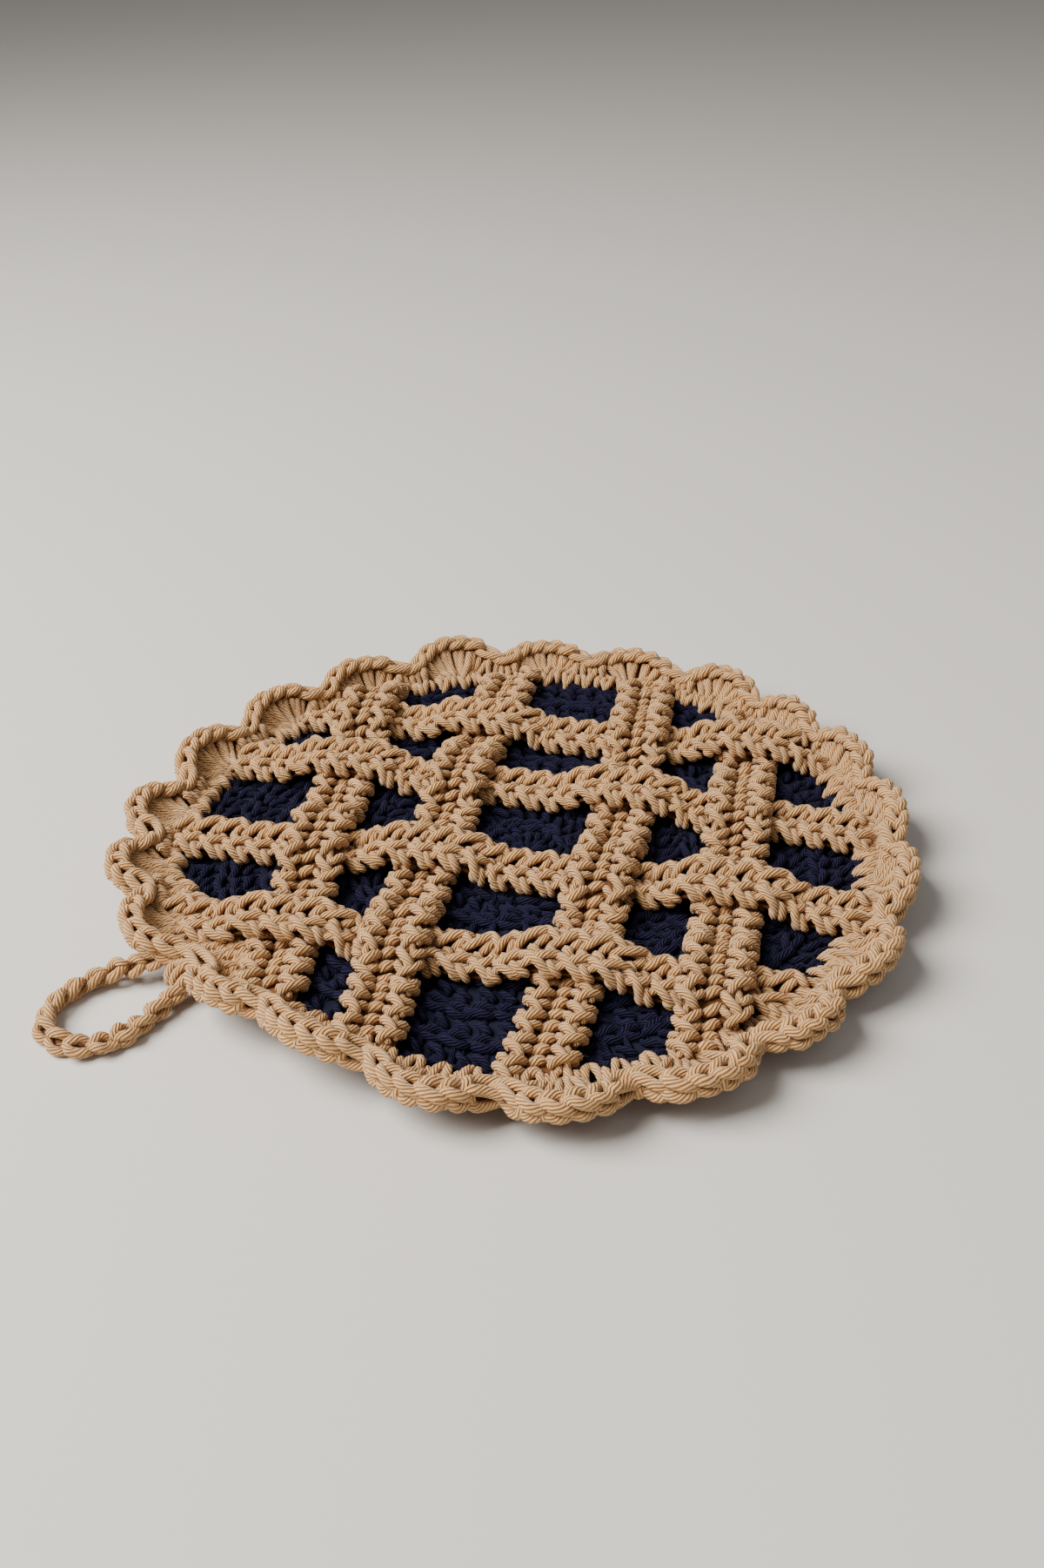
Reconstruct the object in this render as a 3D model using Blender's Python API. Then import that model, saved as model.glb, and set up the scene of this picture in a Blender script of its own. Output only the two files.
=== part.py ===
"""Crochet trivet made like a lattice-topped pie.

A navy round of crochet lies at the bottom.  Eight tan strips are woven over and under
each other on top of it, and a tan border of cupped shells runs round the edge.  A small
chain loop for hanging leaves the border at one notch.

Metres, +Z up.  The origin is the centre of the underside, which lies on z = 0.  The
strips named a run along Y and the strips named b run along X.
"""

from math import atan2, cos, degrees, hypot, pi, radians, sin, sqrt

import bmesh
import bpy

MM = 0.001
GAP = 0.3 * MM

# Navy round: flat below, low ribs where its crocheted rounds meet above
ROUND_RADIUS = 84.0 * MM
ROUND_TOP = 4.2 * MM
ROUND_RIB = 0.7 * MM
ROUND_EDGE = 0.8 * MM
ROUNDS = 8
ROUND_SIDES = 60

# Border: a ring of single crochet with fans of longer stitches standing off it
RING_IN = ROUND_RADIUS + GAP
RING_OUT = 88.6 * MM
RING_TOP = 7.6 * MM
NOTCH_RADIUS = 92.0 * MM
LOOP_NOTCH_RISE = 7.4 * MM
LOOP_NOTCH_RADIUS = 90.6 * MM
LOOP_NOTCH_ANGLE = 226.0
LOOP_NOTCH_WIDTH = 5.0
RIM_HALF = 2.2 * MM
RIM_HALF_NOTCH = 1.9 * MM
RING_SOFT = 0.5 * MM
RING_FOOT_RISE = 1.5 * MM
RING_SHOULDER = 0.8 * MM
RING_CROWN = 1.3 * MM
CUP_FLOOR = 5.4 * MM
CUP_PLACE = 0.18
CUP_LIFT = 0.2
UNDER_PLACE = 0.45
UNDER_LIFT = 0.4
BULGE_POWERS = (2.2, 0.62)
# the rim of a shell, from below to the cup: depth inside its outer edge (mm), the most that
# may be of the fan's length, and height from its middle (share of its half height)
RIM_POINTS = (
    (1.5, 0.3, -1.0),
    (0.0, 0.0, 0.0),
    (1.4, 0.3, 1.0),
    (3.5, 0.52, 0.55),
    (4.6, 0.68, -0.35),
)
SHELL_STEPS = (-1.0, -0.86, -0.62, -0.32, 0.0, 0.32, 0.62, 0.86)

# The shells, counter-clockwise from the hanging loop:
# width (degrees of the edge, before they are made to fill it), reach, rise, and the rise of
# the notch that follows (mm)
SHELLS = (
    (14.5, 97.5, 11.0, 8.0),
    (17.5, 98.0, 10.5, 8.0),
    (17.5, 100.0, 10.5, 6.8),
    (17.0, 102.0, 10.0, 6.6),
    (18.0, 102.0, 10.0, 6.6),
    (15.5, 100.0, 10.0, 6.6),
    (18.0, 99.0, 10.5, 6.6),
    (19.0, 97.0, 11.0, 6.6),
    (18.0, 96.5, 11.5, 6.6),
    (16.5, 97.0, 11.5, 6.6),
    (14.5, 97.0, 10.5, 6.6),
    (16.0, 98.0, 10.5, 6.6),
    (18.0, 97.5, 9.5, 6.6),
    (17.0, 98.5, 9.5, 6.6),
    (17.5, 101.0, 11.0, 6.6),
    (18.0, 99.0, 11.0, 6.6),
    (17.5, 99.0, 11.5, 6.6),
    (18.5, 99.5, 11.5, 6.6),
    (15.5, 102.0, 10.5, 6.6),
    (14.0, 102.0, 10.5, 6.6),
    (17.5, 100.0, 10.5, 7.4),
)

# Strips: two raised braids with a sunken groove between them
STRIP_HALF_A = 8.4 * MM
STRIP_HALF_B = 7.3 * MM
STRIP_THICK = 3.8 * MM
STRIP_LOW = ROUND_TOP + GAP
CROSSING_GAP = 0.5 * MM
STRIP_HIGH = STRIP_LOW + STRIP_THICK + CROSSING_GAP
STRIP_END_RADIUS = ROUND_RADIUS - 0.1 * MM
OVER_CLEAR = 1.6 * MM
OVER_RAMP = 7.8 * MM
RAMP_SHARES = (0.0, 0.3, 0.7, 1.0)
STATION_GAP = 1.2 * MM
STATION_STEP = 7.0 * MM
END_CLEAR = 2.0 * MM
END_STEP = 2.5 * MM
# across the strip (share of its half width) and height (share of its thickness)
STRIP_SECTION = (
    (-0.94, 0.0),
    (-0.5, 0.0),
    (0.0, 0.0),
    (0.5, 0.0),
    (0.94, 0.0),
    (1.0, 0.45),
    (0.86, 0.88),
    (0.54, 1.0),
    (0.2, 0.86),
    (0.0, 0.7),
    (-0.2, 0.86),
    (-0.54, 1.0),
    (-0.86, 0.88),
    (-1.0, 0.45),
)
# place across the mat (mm), lean (mm sideways per mm along), bow (mm sideways at mid)
STRIPS = {
    "strip_a1": (-50.4, -0.089, 0.0),
    "strip_a2": (-18.6, -0.011, -2.5),
    "strip_a3": (19.6, 0.013, 3.5),
    "strip_a4": (52.4, -0.006, 0.5),
    "strip_b1": (51.3, -0.01, 0.0),
    "strip_b2": (20.0, -0.05, 2.5),
    "strip_b3": (-15.3, -0.031, 1.6),
    "strip_b4": (-47.9, -0.027, -0.5),
}
# for each strip a, whether it lies over strips b1, b2, b3 and b4
A_OVER = {
    "strip_a1": (True, False, True, False),
    "strip_a2": (False, True, False, True),
    "strip_a3": (True, False, True, False),
    "strip_a4": (False, True, False, True),
}

# Hanging loop: a chain lying on the table, its narrow end in the loop notch
LOOP_ROOT_RADIUS = 92.2 * MM
LOOP_HEADING = 215.0
LOOP_LENGTH = 30.0 * MM
LOOP_HALF_WIDTH = 11.0 * MM
LOOP_NARROWING = 0.35
LOOP_LINKS = 15
LINK_STEPS = 3
CHAIN_WIDTH = 4.8 * MM
CHAIN_HEIGHT = 4.2 * MM
CHAIN_SWELL = 0.09
CHAIN_SIDES = 8

# Where the edge has drawn in and stands a little off the table
CURL_ANGLE = 248.0
CURL_SPREAD = 27.0
CURL_START = 45.0 * MM
CURL_LENGTH = 42.0 * MM
CURL_UP = 3.0 * MM
CURL_IN = 3.5 * MM

TAN = (0.578, 0.328, 0.156)
NAVY = (0.015, 0.017, 0.05)
YARN_ROUGHNESS = 0.9
SHARP_EDGE = radians(50)


def clear_scene():
    for thing in list(bpy.data.objects):
        bpy.data.objects.remove(thing, do_unlink=True)


def yarn(name, colour):
    """A matt cotton yarn of one colour."""
    material = bpy.data.materials.new(name)
    material.use_nodes = True
    shader = material.node_tree.nodes["Principled BSDF"]
    shader.inputs["Base Color"].default_value = (*colour, 1.0)
    shader.inputs["Roughness"].default_value = YARN_ROUGHNESS
    shader.inputs["Metallic"].default_value = 0.0
    return material


def blend(low, high, share):
    return low + (high - low) * share


def smooth(share):
    share = min(max(share, 0.0), 1.0)
    return share * share * (3.0 - 2.0 * share)


def curled(point):
    """Where a point of the flat mat lies once its edge has curled at one place."""
    x, y, z = point
    radius = hypot(x, y)
    aside = (degrees(atan2(y, x)) - CURL_ANGLE + 180.0) % 360.0 - 180.0
    if abs(aside) >= CURL_SPREAD or radius <= CURL_START:
        return point
    share = cos(pi / 2 * aside / CURL_SPREAD) ** 2 * smooth((radius - CURL_START) / CURL_LENGTH)
    inward = 1.0 - CURL_IN * share / radius
    return (x * inward, y * inward, z + CURL_UP * share)


def add_loft(name, rings, material, closed=False):
    """A solid skinned over rings of points, capped at both ends unless it closes on itself."""
    shape = bmesh.new()
    loops = [[shape.verts.new(curled(point)) for point in ring] for ring in rings]
    count = len(loops[0])
    pairs = list(zip(loops, loops[1:]))
    if closed:
        pairs.append((loops[-1], loops[0]))
    for near, far in pairs:
        for i in range(count):
            j = (i + 1) % count
            shape.faces.new((near[i], near[j], far[j], far[i]))
    if not closed:
        shape.faces.new(loops[0][::-1])
        shape.faces.new(loops[-1])
    bmesh.ops.triangulate(shape, faces=[face for face in shape.faces if len(face.verts) > 3])
    bmesh.ops.recalc_face_normals(shape, faces=shape.faces)
    if shape.calc_volume(signed=True) < 0:
        bmesh.ops.reverse_faces(shape, faces=shape.faces)
    mesh = bpy.data.meshes.new(name)
    shape.to_mesh(mesh)
    shape.free()
    mesh.shade_smooth()
    mesh.set_sharp_from_angle(angle=SHARP_EDGE)
    solid = bpy.data.objects.new(name, mesh)
    solid.data.materials.append(material)
    bpy.context.scene.collection.objects.link(solid)
    return solid


def polar(radius, angle, height):
    return (radius * cos(angle), radius * sin(angle), height)


# ---- navy round


def round_profile():
    """Radius and height from the rim of the underside up and in to the middle."""
    profile = [(CURL_START, 0.0), (blend(CURL_START, ROUND_RADIUS, 0.5), 0.0)]
    profile.append((ROUND_RADIUS - ROUND_EDGE, 0.0))
    profile.append((ROUND_RADIUS, ROUND_EDGE))
    profile.append((ROUND_RADIUS, ROUND_TOP - ROUND_RIB))
    pitch = ROUND_RADIUS / ROUNDS
    for number in range(ROUNDS, 1, -1):
        profile.append((pitch * (number - 0.5), ROUND_TOP))
        profile.append((pitch * (number - 1), ROUND_TOP - ROUND_RIB))
    profile.append((pitch / 2, ROUND_TOP))
    return profile


def make_round(material):
    rings = []
    for radius, height in round_profile():
        turns = [2 * pi * i / ROUND_SIDES for i in range(ROUND_SIDES)]
        rings.append([polar(radius, turn, height) for turn in turns])
    add_loft("navy_round", rings, material)


# ---- border


def border_stations():
    """Angle, outer radius, rise and rim half height for each section round the border."""
    free = 360.0 - LOOP_NOTCH_WIDTH
    scale = free / sum(shell[0] for shell in SHELLS)
    start = LOOP_NOTCH_ANGLE + LOOP_NOTCH_WIDTH / 2
    last = len(SHELLS) - 1
    low_before = LOOP_NOTCH_RISE
    stations = []
    for number, (width, reach, rise, low_after) in enumerate(SHELLS):
        width *= scale
        before = LOOP_NOTCH_RADIUS if number == 0 else NOTCH_RADIUS
        after = LOOP_NOTCH_RADIUS if number == last else NOTCH_RADIUS
        for step in SHELL_STEPS:
            bulge = (1.0 - abs(step) ** BULGE_POWERS[0]) ** BULGE_POWERS[1]
            notch = before if step < 0 else after
            low = low_before if step < 0 else low_after * MM
            stations.append(
                (
                    radians(start + width * (step + 1) / 2),
                    blend(notch, reach * MM, bulge),
                    blend(low, rise * MM, bulge),
                    blend(RIM_HALF_NOTCH, RIM_HALF, bulge),
                )
            )
        start += width
        low_before = low_after * MM
    stations.append((radians(start), LOOP_NOTCH_RADIUS, LOOP_NOTCH_RISE, RIM_HALF_NOTCH))
    return stations


def border_section(outer, rise, half):
    """Radius and height round one section: ring below and inside, cupped fan and rim outside."""
    spread = outer - RING_OUT
    fan_under = blend(RING_FOOT_RISE, rise - half, UNDER_LIFT)
    section = [
        (RING_IN, 0.0),
        (RING_OUT - RING_SOFT, 0.0),
        (RING_OUT + RING_SOFT, RING_FOOT_RISE),
        (RING_OUT + UNDER_PLACE * spread, fan_under),
    ]
    for depth, limit, height in RIM_POINTS:
        section.append((outer - min(depth * MM, limit * spread), rise + height * half))
    section += [
        (RING_OUT + CUP_PLACE * spread, blend(CUP_FLOOR, rise, CUP_LIFT)),
        (RING_OUT - RING_SHOULDER, RING_TOP - RING_SOFT),
        (RING_IN + RING_CROWN, RING_TOP),
        (RING_IN, RING_TOP - RING_CROWN),
    ]
    return section


def make_border(material):
    rings = []
    for angle, outer, rise, half in border_stations():
        section = border_section(outer, rise, half)
        rings.append([polar(radius, angle, height) for radius, height in section])
    add_loft("border", rings, material, closed=True)


# ---- strips


def strip_side(name, along):
    """How far sideways the middle of a strip lies, at a place along it."""
    place, lean, bow = STRIPS[name]
    return (place + bow * (1.0 - (along / ROUND_RADIUS) ** 2)) * MM + lean * along


def half_width(name):
    return STRIP_HALF_A if name in A_OVER else STRIP_HALF_B


def crossings(name):
    """Where along a strip the four others cross it, and whether it lies over each."""
    a_names = sorted(A_OVER)
    b_names = sorted(set(STRIPS) - set(A_OVER))
    if name in A_OVER:
        others, over = b_names, A_OVER[name]
    else:
        row = b_names.index(name)
        others, over = a_names, [not A_OVER[a][row] for a in a_names]
    found = []
    for other, lies_over in zip(others, over):
        along = strip_side(other, 0.0)
        for _ in range(3):
            along = strip_side(other, strip_side(name, along))
        found.append((along, lies_over))
    return found


def over_flat(name):
    """Half the length over which a strip stays high to clear the one that it crosses."""
    return (STRIP_HALF_B if name in A_OVER else STRIP_HALF_A) + OVER_CLEAR


def strip_level(name, along, over_places):
    """Height of a strip's underside: it climbs only where it lies over another."""
    lift = 0.0
    for place in over_places:
        past_flat = abs(along - place) - over_flat(name)
        lift = max(lift, 1.0 - smooth(past_flat / OVER_RAMP))
    return blend(STRIP_LOW, STRIP_HIGH, lift)


def end_reach(name, across, sign):
    """Where a strip's end meets the inside of the ring, at a distance across it."""
    along = sign * ROUND_RADIUS * 0.9
    for _ in range(6):
        side = strip_side(name, along) + across
        along = sign * sqrt(max(STRIP_END_RADIUS**2 - side**2, 0.0))
    return along


def strip_stations(name, over_places):
    """Places along a strip where its section is drawn straight across."""
    marks = []
    for place in over_places:
        for share in RAMP_SHARES:
            marks.append(place - over_flat(name) - share * OVER_RAMP)
            marks.append(place + over_flat(name) + share * OVER_RAMP)
        marks += [place - over_flat(name) / 2, place, place + over_flat(name) / 2]
    edges = (-half_width(name), half_width(name))
    low = max(end_reach(name, edge, -1) for edge in edges) + END_CLEAR
    high = min(end_reach(name, edge, 1) for edge in edges) - END_CLEAR
    marks += [low, high]
    count = int((high - low) / STATION_STEP)
    marks += [blend(low, high, step / count) for step in range(count)]
    kept = []
    for mark in sorted(marks):
        if low <= mark <= high and (not kept or mark - kept[-1] > STATION_GAP):
            kept.append(mark)
    return kept


def end_shares(name, sign):
    """How far out, from the last straight section to the curved end, each slanted one lies."""
    reaches = [end_reach(name, edge, sign) for edge in (-half_width(name), half_width(name))]
    count = 1 + int(abs(reaches[0] - reaches[1]) / END_STEP)
    return [(step + 1) / count for step in range(count)]


def strip_rows(name, over_places):
    """For each section of a strip, the place along it of every point of the section."""
    stations = strip_stations(name, over_places)
    lefts = [share * half_width(name) for share, _ in STRIP_SECTION]
    first = [end_reach(name, across, -1) for across in lefts]
    last = [end_reach(name, across, 1) for across in lefts]
    rows = []
    for share in reversed(end_shares(name, -1)):
        rows.append([blend(stations[0], reach, share) for reach in first])
    rows += [[station] * len(lefts) for station in stations]
    for share in end_shares(name, 1):
        rows.append([blend(stations[-1], reach, share) for reach in last])
    return rows


def make_strip(name, material):
    over_places = [place for place, lies_over in crossings(name) if lies_over]
    rings = []
    for row in strip_rows(name, over_places):
        ring = []
        for along, (share, height) in zip(row, STRIP_SECTION):
            side = strip_side(name, along) + share * half_width(name)
            level = strip_level(name, along, over_places) + height * STRIP_THICK
            if name in A_OVER:
                ring.append((side, along, level))
            else:
                ring.append((along, side, level))
        rings.append(ring)
    add_loft(name, rings, material)


# ---- hanging loop


def loop_path():
    """Teardrop on the table: middle of the chain, its heading and its swell at each step."""
    root_angle = radians(LOOP_NOTCH_ANGLE)
    root = (LOOP_ROOT_RADIUS * cos(root_angle), LOOP_ROOT_RADIUS * sin(root_angle))
    heading = radians(LOOP_HEADING)
    out = (cos(heading), sin(heading))
    count = LOOP_LINKS * LINK_STEPS
    path = []
    for i in range(count):
        turn = 2 * pi * i / count
        away = LOOP_LENGTH * (1 - cos(turn)) / 2
        fullness = 1 - LOOP_NARROWING * (1 + cos(turn)) / 2
        across = LOOP_HALF_WIDTH * sin(turn) * fullness
        swell = 1 + CHAIN_SWELL * cos(2 * pi * i / LINK_STEPS)
        x = root[0] + out[0] * away - out[1] * across
        y = root[1] + out[1] * away + out[0] * across
        path.append((x, y, swell))
    return path


def make_loop(material):
    path = loop_path()
    rings = []
    for i, (x, y, swell) in enumerate(path):
        before = path[i - 1]
        after = path[(i + 1) % len(path)]
        length = hypot(after[0] - before[0], after[1] - before[1])
        side = ((after[1] - before[1]) / length, (before[0] - after[0]) / length)
        ring = []
        for corner in range(CHAIN_SIDES):
            turn = 2 * pi * (corner + 0.5) / CHAIN_SIDES
            flat = cos(pi / CHAIN_SIDES)
            across = CHAIN_WIDTH / 2 * swell * cos(turn)
            height = CHAIN_HEIGHT / 2 * (1 + sin(turn) / flat)
            if height > CHAIN_HEIGHT / 2:
                height = CHAIN_HEIGHT / 2 + (height - CHAIN_HEIGHT / 2) * swell
            ring.append((x + side[0] * across, y + side[1] * across, height))
        rings.append(ring)
    add_loft("hanging_loop", rings, material, closed=True)


def main():
    clear_scene()
    make_round(yarn("navy_yarn", NAVY))
    make_border(yarn("border_yarn", TAN))
    for name in STRIPS:
        make_strip(name, yarn(name + "_yarn", TAN))
    make_loop(yarn("loop_yarn", TAN))


main()
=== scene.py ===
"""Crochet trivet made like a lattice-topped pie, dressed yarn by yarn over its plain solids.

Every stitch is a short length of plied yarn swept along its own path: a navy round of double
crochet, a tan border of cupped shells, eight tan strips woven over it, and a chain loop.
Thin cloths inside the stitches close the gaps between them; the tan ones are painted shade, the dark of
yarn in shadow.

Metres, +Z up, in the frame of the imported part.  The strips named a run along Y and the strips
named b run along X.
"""

from dataclasses import dataclass
from math import cos, pi, radians, sin

import bpy
import numpy as np
from mathutils import Matrix, Vector


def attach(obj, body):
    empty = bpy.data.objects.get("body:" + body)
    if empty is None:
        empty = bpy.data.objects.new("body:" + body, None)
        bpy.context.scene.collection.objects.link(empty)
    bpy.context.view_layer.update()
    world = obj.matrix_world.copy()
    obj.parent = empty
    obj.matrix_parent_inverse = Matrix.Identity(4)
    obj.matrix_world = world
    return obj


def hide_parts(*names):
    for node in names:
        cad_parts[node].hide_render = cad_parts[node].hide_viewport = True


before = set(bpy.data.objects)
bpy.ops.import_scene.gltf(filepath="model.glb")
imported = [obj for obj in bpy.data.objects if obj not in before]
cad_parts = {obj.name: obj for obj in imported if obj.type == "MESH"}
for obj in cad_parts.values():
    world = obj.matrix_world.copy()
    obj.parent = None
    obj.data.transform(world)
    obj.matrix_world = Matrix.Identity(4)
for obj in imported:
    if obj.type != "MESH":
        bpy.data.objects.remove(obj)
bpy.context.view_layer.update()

MM = 0.001
rng = np.random.default_rng(11)

# ---- yarn

PLIES = 8
TWIST = 830.0  # plies that pass a point of the side, for each metre along
PLY_WANDER = 0.9  # plies by which the twist drifts
PLY_WANDER_SCALE = 330.0
PLY_BUMP_DEPTH = 0.5 * MM
FIBRES_PER_PLY = 4.0
FIBRES_ALONG = 300.0  # for each metre
FIBRE_CHANGE = 40.0  # how far apart the fibres of two strands are in the noise
FIBRE_HEIGHT = 0.8  # of a ply's height
# painted highlight: how much lighter the crests of the plies are made, and how narrow
CREST_HIGHLIGHT_SHARE = 0.75
CREST_HIGHLIGHT_POWER = 3.0
CREVICE_SHADE = 0.8
TONE_SHADE = 0.07
YARN_ROUGHNESS = 0.88
SHEEN_ROUGHNESS = 0.45
PLAIN_ROUGHNESS = 0.95
PLAIN_SPECULAR = 0.2

UV_NAME = "Strand"
TONE_NAME = "tone_and_shade"
CREVICE_NAME = "crevice"

# crevices are found in a grid of cells: how full it is at these distances (mm) off a strand; they get
# painted shade
CELL = 0.8 * MM
CELL_MARGIN = 4
CREVICE_REACHES = (1.2, 2.1)
CREVICE_UPWARD = 0.35
CREVICE_FROM = 0.12
CREVICE_TO = 0.62


@dataclass(frozen=True)
class Yarn:
    """How one yarn looks: its colours from painted highlight on the crests to painted shade in the
    deep, its relief and its shine.
    """

    colour: tuple
    crest_highlight: tuple
    shade_colour: tuple
    groove_shade: float
    bump: float
    sheen: float
    sheen_tint: tuple
    speckle: float
    shine: float


TAN = Yarn(
    colour=(0.58, 0.305, 0.10),
    crest_highlight=(0.80, 0.53, 0.26),
    shade_colour=(0.30, 0.10, 0.016),
    groove_shade=0.8,
    bump=0.85,
    sheen=0.3,
    sheen_tint=(1.0, 0.93, 0.82),
    speckle=0.8,
    shine=0.3,
)
NAVY = Yarn(
    colour=(0.0048, 0.0038, 0.0145),
    crest_highlight=(0.019, 0.016, 0.058),
    shade_colour=(0.0006, 0.0006, 0.002),
    groove_shade=0.9,
    bump=0.9,
    sheen=0.03,
    sheen_tint=(0.45, 0.5, 1.0),
    speckle=1.6,
    shine=0.1,
)
# painted shade: the tan cloths inside the stitches are coloured like tan yarn in shadow
TAN_CORE_SHADE = (0.15, 0.06, 0.018)
NAVY_CORE = (0.006, 0.007, 0.02)

# ---- the same sizes as the solids (mm)

ROUND_RADIUS = 84.0
ROUNDS = 8
RING_OUT = 88.6
NOTCH_RADIUS = 92.0
LOOP_NOTCH_RISE = 7.4
LOOP_NOTCH_RADIUS = 90.6
LOOP_NOTCH_ANGLE = 226.0
LOOP_NOTCH_WIDTH = 5.0
BULGE_POWERS = (2.2, 0.62)  # how square and how round a shell's outline is
# each shell, from the loop's notch round: its width in degrees, reach and rise, and the rise of
# the notch after it
SHELLS = (
    (14.5, 97.5, 11.0, 8.0),
    (17.5, 98.0, 10.5, 8.0),
    (17.5, 100.0, 10.5, 6.8),
    (17.0, 102.0, 10.0, 6.6),
    (18.0, 102.0, 10.0, 6.6),
    (15.5, 100.0, 10.0, 6.6),
    (18.0, 99.0, 10.5, 6.6),
    (19.0, 97.0, 11.0, 6.6),
    (18.0, 96.5, 11.5, 6.6),
    (16.5, 97.0, 11.5, 6.6),
    (14.5, 97.0, 10.5, 6.6),
    (16.0, 98.0, 10.5, 6.6),
    (18.0, 97.5, 9.5, 6.6),
    (17.0, 98.5, 9.5, 6.6),
    (17.5, 101.0, 11.0, 6.6),
    (18.0, 99.0, 11.0, 6.6),
    (17.5, 99.0, 11.5, 6.6),
    (18.5, 99.5, 11.5, 6.6),
    (15.5, 102.0, 10.5, 6.6),
    (14.0, 102.0, 10.5, 6.6),
    (17.5, 100.0, 10.5, 7.4),
)
STRIP_LOW = 4.5
STRIP_HIGH = 8.8
STRIP_END_RADIUS = 84.6
STITCH_END_RADIUS = 86.6
OVER_SHORT = 1.2  # a strip starts down this far before the edge of the one it crosses
OVER_RAMP = 11.0  # and takes this far to come down
# each strip: where its middle lies to the side, its lean and its bow
STRIPS = {
    "strip_a1": (-50.4, -0.089, 0.0),
    "strip_a2": (-18.6, -0.011, -2.5),
    "strip_a3": (19.6, 0.013, 3.5),
    "strip_a4": (52.4, -0.006, 0.5),
    "strip_b1": (51.3, -0.01, 0.0),
    "strip_b2": (20.0, -0.05, 2.5),
    "strip_b3": (-15.3, -0.031, 1.6),
    "strip_b4": (-47.9, -0.027, -0.5),
}
# whether each strip along Y lies over strips b1 to b4
A_OVER = {
    "strip_a1": (True, False, True, False),
    "strip_a2": (False, True, False, True),
    "strip_a3": (True, False, True, False),
    "strip_a4": (False, True, False, True),
}
LOOP_ROOT_RADIUS = 92.2
LOOP_HEADING = 215.0

# the edge curls up and in at one place: where, over what angles and from which radius
CURL_ANGLE = 248.0
CURL_SPREAD = 27.0
CURL_START = 45.0
CURL_LENGTH = 42.0
CURL_UP = 3.0
CURL_IN = 3.5


# ---- helpers


def normalised(vectors):
    return vectors / np.maximum(np.linalg.norm(vectors, axis=-1, keepdims=True), 1e-12)


def smooth(share):
    share = np.clip(share, 0.0, 1.0)
    return share * share * (3.0 - 2.0 * share)


def blend(low, high, share):
    return low + (high - low) * share


def curled(points):
    """Where points of the flat mat lie once its edge has curled at one place."""
    radius = np.linalg.norm(points[..., :2], axis=-1)
    turn = np.degrees(np.arctan2(points[..., 1], points[..., 0]))
    aside = np.clip((turn - CURL_ANGLE + 180) % 360 - 180, -CURL_SPREAD, CURL_SPREAD)
    share = np.cos(pi / 2 * aside / CURL_SPREAD) ** 2
    share = share * smooth((radius / MM - CURL_START) / CURL_LENGTH)
    inward = 1.0 - CURL_IN * MM * share / np.maximum(radius, MM)
    flat = points[..., :2] * inward[..., None]
    return np.concatenate([flat, points[..., 2:] + CURL_UP * MM * share[..., None]], axis=-1)


# ---- strands


def through(controls, count):
    """Smooth curves through rows of points, as rows of count points each."""
    first = 2 * controls[:, :1] - controls[:, 1:2]
    last = 2 * controls[:, -1:] - controls[:, -2:-1]
    points = np.concatenate([first, controls, last], axis=1)
    at = np.linspace(0, controls.shape[1] - 1, count)
    i = np.minimum(at.astype(int), controls.shape[1] - 2)
    t = (at - i)[None, :, None]
    p0, p1, p2, p3 = (points[:, i + step] for step in range(4))
    return 0.5 * (
        2 * p1
        + (p2 - p0) * t
        + (2 * p0 - 5 * p1 + 4 * p2 - p3) * t**2
        + (3 * p1 - p0 - 3 * p2 + p3) * t**3
    )


# how much strands differ: share of the radius, tone, and where along the twist they start (m)
THICKNESS_VARIES = 0.045
TONE_VARIES = 0.5
TWIST_STARTS = 0.05
FULLEST = 1.06  # of the radius, in the middle of a strand
FULL_SPAN = (0.06, 0.94)  # the part of a half wave that a strand's fullness follows
TIP_SHARE = 0.45
# a strand's first side is square to this direction, along which none starts
ASIDE = (0.31, 0.17, 0.93)

ALL_STRANDS = []


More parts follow.
